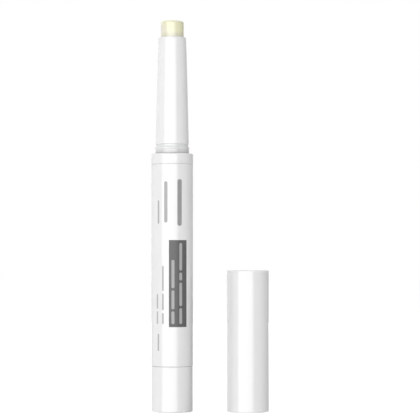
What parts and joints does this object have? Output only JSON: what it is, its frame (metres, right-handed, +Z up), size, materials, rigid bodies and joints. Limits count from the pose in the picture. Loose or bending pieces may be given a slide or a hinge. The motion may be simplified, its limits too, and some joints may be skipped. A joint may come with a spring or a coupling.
{
  "type": "nail care pen",
  "caption": "Slim twist-up nail care pen with a pale balm stick in a tapered nose, a lead-screw feed turned by the lower knob, and its push-on cap standing beside it.",
  "frame": {"origin": "centre of the pen's flat base, on the surface that the pen and the cap stand on", "axes": "+Z up along the pen's axis to the balm, +X from the pen to the cap beside it, -Y towards the viewer"},
  "size_m": [0.0337, 0.012, 0.1118],
  "materials": {
    "gloss_white": "opaque white, glossy moulding",
    "natural_plastic": "undyed, slightly cloudy, satin moulding",
    "balm_wax": "pale cream wax balm, soft sheen",
    "seal_rubber": "soft grey seal rubber"
  },
  "bodies": {
    "pen": {"barrel": "gloss_white", "collar": "gloss_white", "nose_sleeve": "gloss_white", "guide_tube": "natural_plastic", "bearing_sleeve": "natural_plastic"},
    "knob": {"twist_knob": "gloss_white", "drive_hub": "natural_plastic", "drag_ring": "seal_rubber", "spindle": "natural_plastic"},
    "carrier": {"drive_nut": "natural_plastic", "push_tube": "natural_plastic", "balm_cup": "natural_plastic", "balm": "balm_wax"},
    "cap": {"cap_shell": "gloss_white", "cap_liner": "natural_plastic"}
  },
  "joints": [
    {"name": "knob_turn", "type": "hinge", "parent": "pen", "child": "knob", "pos_m": [0, 0, 0], "axis": [0, 0, 1], "range_deg": [-432, 1872]},
    {"name": "balm_feed", "type": "slide", "parent": "pen", "child": "carrier", "axis": [0, 0, 1], "range_m": [-0.006, 0.026]},
    {"name": "cap_lift", "type": "slide", "parent": "pen", "child": "cap", "axis": [0, 0, 1], "range_m": [0, 0.12]}
  ],
  "couplings": [
    {"joint": "knob_turn", "follows": "balm_feed", "rad_per_m": 1256.6}
  ]
}
